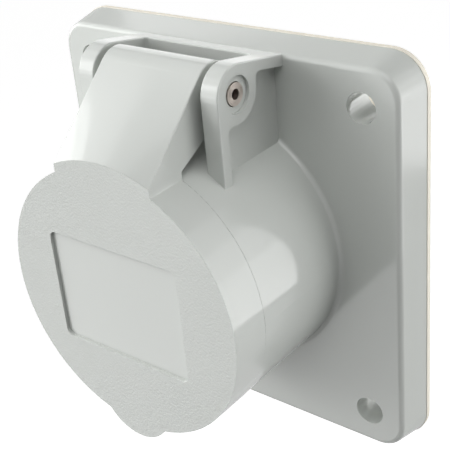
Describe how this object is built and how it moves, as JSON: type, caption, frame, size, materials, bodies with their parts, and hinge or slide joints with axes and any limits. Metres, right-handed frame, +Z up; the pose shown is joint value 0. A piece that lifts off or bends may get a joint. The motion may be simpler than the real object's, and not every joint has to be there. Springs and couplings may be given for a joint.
{
  "type": "industrial socket",
  "caption": "Panel-mounted industrial socket outlet with a square flange, a round barrel and a spring-closed hinged lid.",
  "frame": {"origin": "plug axis on the panel surface, at the rear face of the flange gasket", "axes": "-Y towards the user, out of the mouth; +Z up, towards the lid's hinge; X along the hinge pin"},
  "size_m": [0.0764, 0.0638, 0.0775],
  "materials": {
    "housing": "satin light grey moulding",
    "lid": "fine-grained light grey moulding",
    "pin_metal": "turned end, warm tint",
    "spring_steel": "drawn wire",
    "seal_rubber": "matt rubber",
    "gasket": "matt cream sheet",
    "insert": "black moulding",
    "brass": "turned brass",
    "plated_steel": "zinc plated"
  },
  "bodies": {
    "base": {"housing": "housing", "hinge_pin": "pin_metal", "lid_spring": "spring_steel", "flange_gasket": "gasket", "contact_carrier": "insert", "carrier_back": "insert", "line_contact": "brass", "neutral_contact": "brass", "earth_contact": "brass", "line_sleeve_spring": "spring_steel", "neutral_sleeve_spring": "spring_steel", "earth_sleeve_spring": "spring_steel", "line_clamp": "plated_steel", "neutral_clamp": "plated_steel", "earth_clamp": "plated_steel", "terminal_screws": "plated_steel", "carrier_screws": "plated_steel"},
    "lid_body": {"lid": "lid", "lid_seal": "seal_rubber"}
  },
  "joints": [
    {"name": "lid_hinge", "type": "hinge", "parent": "base", "child": "lid_body", "pos_m": [0, -0.0202, 0.0343], "axis": [-1, 0, 0], "range_deg": [0, 120], "stiffness_Nm_per_rad": 0.02, "springref_deg": -68.75, "deforming": ["lid_spring"]}
  ]
}
